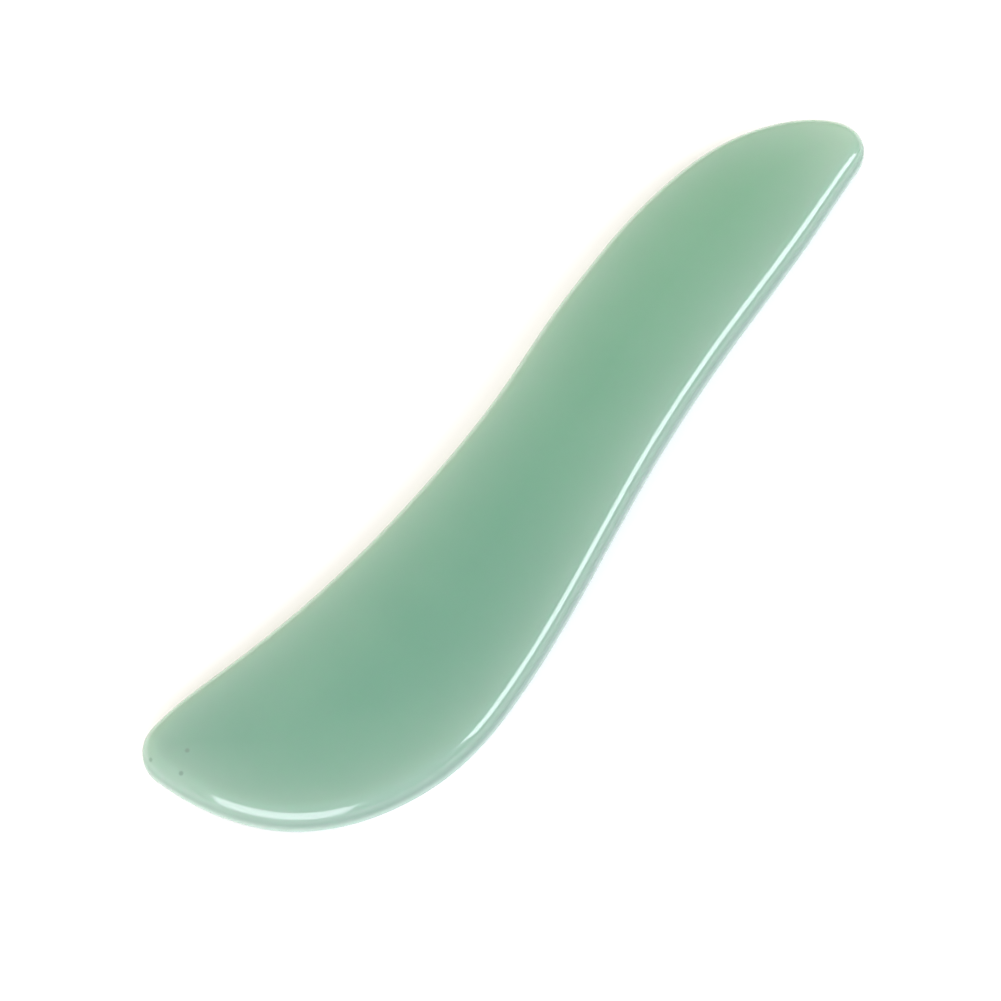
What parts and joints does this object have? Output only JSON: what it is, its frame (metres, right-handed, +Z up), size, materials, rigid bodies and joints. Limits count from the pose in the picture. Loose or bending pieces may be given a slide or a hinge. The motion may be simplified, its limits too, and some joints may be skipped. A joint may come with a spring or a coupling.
{
  "type": "gua sha scraper",
  "caption": "S-shaped hand-held massage scraper: a crowned board of polished green stone with a broad paddle end, a slim beak end and rubbed round edges.",
  "frame": {"origin": "centre of the flat back, at the middle of the bounding box, on the surface it lies on", "axes": "+X along the board from the broad paddle end to the beak end, +Y across it towards the hollow side and the beak's back, +Z up through its thickness, from the flat back to the crowned face"},
  "size_m": [0.15, 0.037, 0.007],
  "materials": {
    "polished_stone": "polished"
  },
  "bodies": {
    "root": {"stone_board": "polished_stone"}
  },
  "joints": []
}
